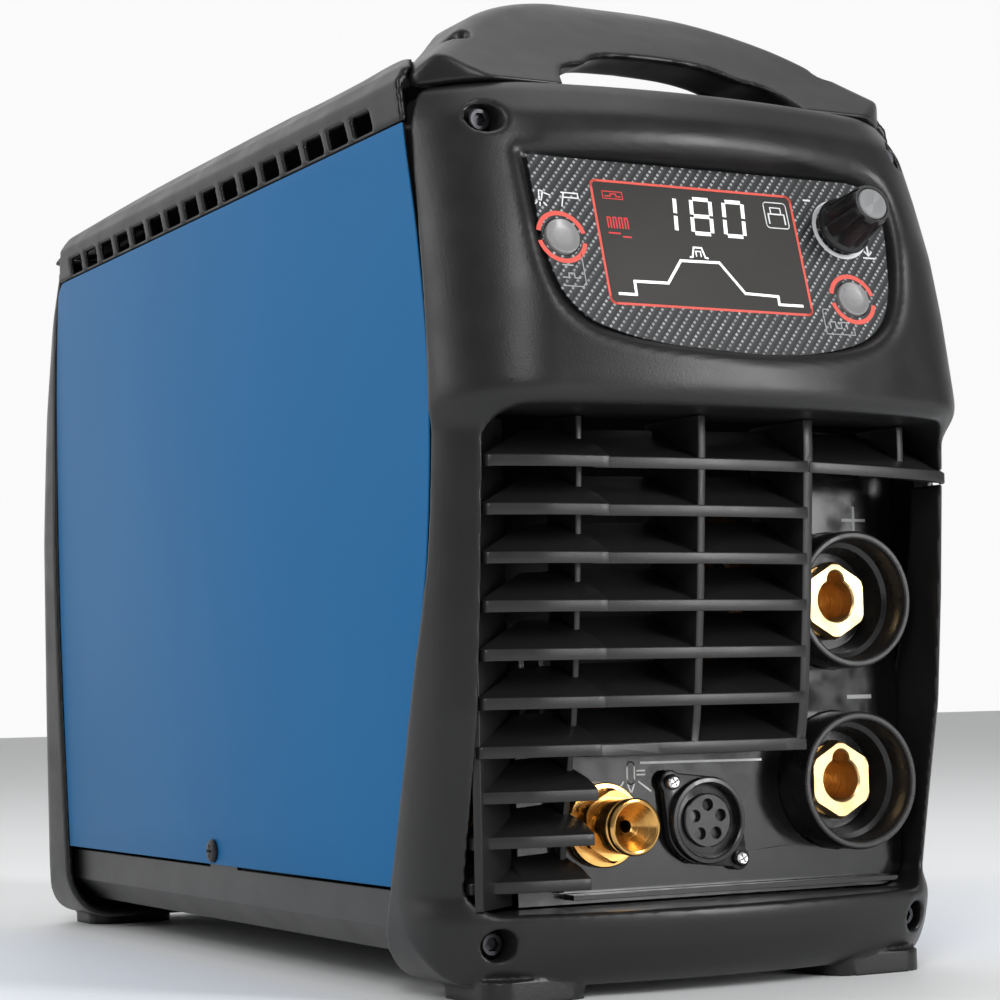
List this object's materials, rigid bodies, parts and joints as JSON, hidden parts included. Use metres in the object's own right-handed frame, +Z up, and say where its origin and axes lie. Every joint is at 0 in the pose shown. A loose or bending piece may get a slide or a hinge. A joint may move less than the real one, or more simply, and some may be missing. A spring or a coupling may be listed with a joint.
{
  "type": "tig welding machine",
  "caption": "Portable inverter TIG welding machine with carry handle, louvred front, tilted control panel, twist-lock sockets, gas outlet, rear fan and switch.",
  "frame": {"origin": "on the ground under the middle of the machine", "axes": "+X to the right seen from the front, +Y from the control panel to the rear, +Z up"},
  "size_m": [0.181, 0.4072, 0.312],
  "materials": {
    "bezel_plastic": "fine satin texture",
    "black_plastic": "fine matte texture",
    "gloss_black": "gloss",
    "blue_paint": "satin powder coat",
    "black_paint": "satin powder coat",
    "brass": "machined",
    "steel": "bright zinc",
    "dark_steel": "black oxide",
    "label_film": "printed carbon weave, satin",
    "display_glass": "gloss window over a dark display",
    "circuit_board": "green solder mask",
    "button_grey": "satin",
    "rocker_red": "translucent red",
    "aluminium": "extruded",
    "copper_winding": "enamelled wire",
    "ferrite": "sintered",
    "capacitor_sleeve": "shrink sleeve",
    "hose_blue": "smooth"
  },
  "bodies": {
    "case": {"front_bezel": "bezel_plastic", "front_grille": "bezel_plastic", "connector_plate": "gloss_black", "plus_socket_shroud": "gloss_black", "minus_socket_shroud": "gloss_black", "plus_socket_insert": "brass", "minus_socket_insert": "brass", "gas_outlet": "brass", "control_socket_shell": "black_plastic", "control_socket_insert": "black_plastic", "control_socket_screw_1": "steel", "control_socket_screw_2": "steel", "front_screw_1": "dark_steel", "front_screw_2": "dark_steel", "front_screw_3": "dark_steel", "front_screw_4": "dark_steel", "control_label": "label_film", "display_window": "display_glass", "control_board": "circuit_board", "encoder_body": "steel", "left_side_panel": "blue_paint", "right_side_panel": "blue_paint", "left_panel_screw": "dark_steel", "right_panel_screw": "dark_steel", "base_tray": "black_paint", "carry_handle": "bezel_plastic", "left_handle_screw": "dark_steel", "right_handle_screw": "dark_steel", "top_cover": "black_plastic", "rear_bezel": "black_plastic", "rear_panel": "black_paint", "rear_screw_1": "dark_steel", "rear_screw_2": "dark_steel", "rear_screw_3": "dark_steel", "rear_screw_4": "dark_steel", "fan_frame": "black_plastic", "fan_guard": "steel", "switch_housing": "black_plastic", "cable_gland": "black_plastic", "gas_inlet": "brass", "power_board": "circuit_board", "left_heat_sink": "aluminium", "right_heat_sink": "aluminium", "capacitor_bank": "capacitor_sleeve", "transformer_core": "ferrite", "transformer_winding": "copper_winding", "output_choke": "copper_winding", "ignition_coil": "copper_winding", "gas_valve": "black_plastic", "inlet_hose": "hose_blue", "outlet_hose": "hose_blue"},
    "encoder_plunger": {"encoder_shaft": "steel"},
    "encoder_dial": {"encoder_knob": "black_plastic", "encoder_cap": "button_grey"},
    "process_key": {"process_button": "button_grey"},
    "mode_key": {"mode_button": "button_grey"},
    "fan": {"fan_rotor": "black_plastic"},
    "rocker": {"switch_rocker": "rocker_red"}
  },
  "joints": [
    {"name": "encoder_push", "type": "slide", "parent": "case", "child": "encoder_plunger", "axis": [0, 0.9613, -0.2756], "range_m": [0, 0.0005], "stiffness_N_per_m": 1500, "springref_m": -0.0005},
    {"name": "encoder_turn", "type": "hinge", "parent": "encoder_plunger", "child": "encoder_dial", "pos_m": [0.0406, -0.1828, 0.22442], "axis": [0, -0.9613, 0.2756], "continuous": true},
    {"name": "process_press", "type": "slide", "parent": "case", "child": "process_key", "axis": [0, 0.9613, -0.2756], "range_m": [0, 0.0008], "stiffness_N_per_m": 1200, "springref_m": -0.0005},
    {"name": "mode_press", "type": "slide", "parent": "case", "child": "mode_key", "axis": [0, 0.9613, -0.2756], "range_m": [0, 0.0008], "stiffness_N_per_m": 1200, "springref_m": -0.0005},
    {"name": "fan_spin", "type": "hinge", "parent": "case", "child": "fan", "pos_m": [0.013, 0.165, 0.128], "axis": [0, 1, 0], "continuous": true},
    {"name": "power_rock", "type": "hinge", "parent": "case", "child": "rocker", "pos_m": [-0.056, 0.1856, 0.212], "axis": [1, 0, 0], "range_deg": [0, 14]}
  ]
}
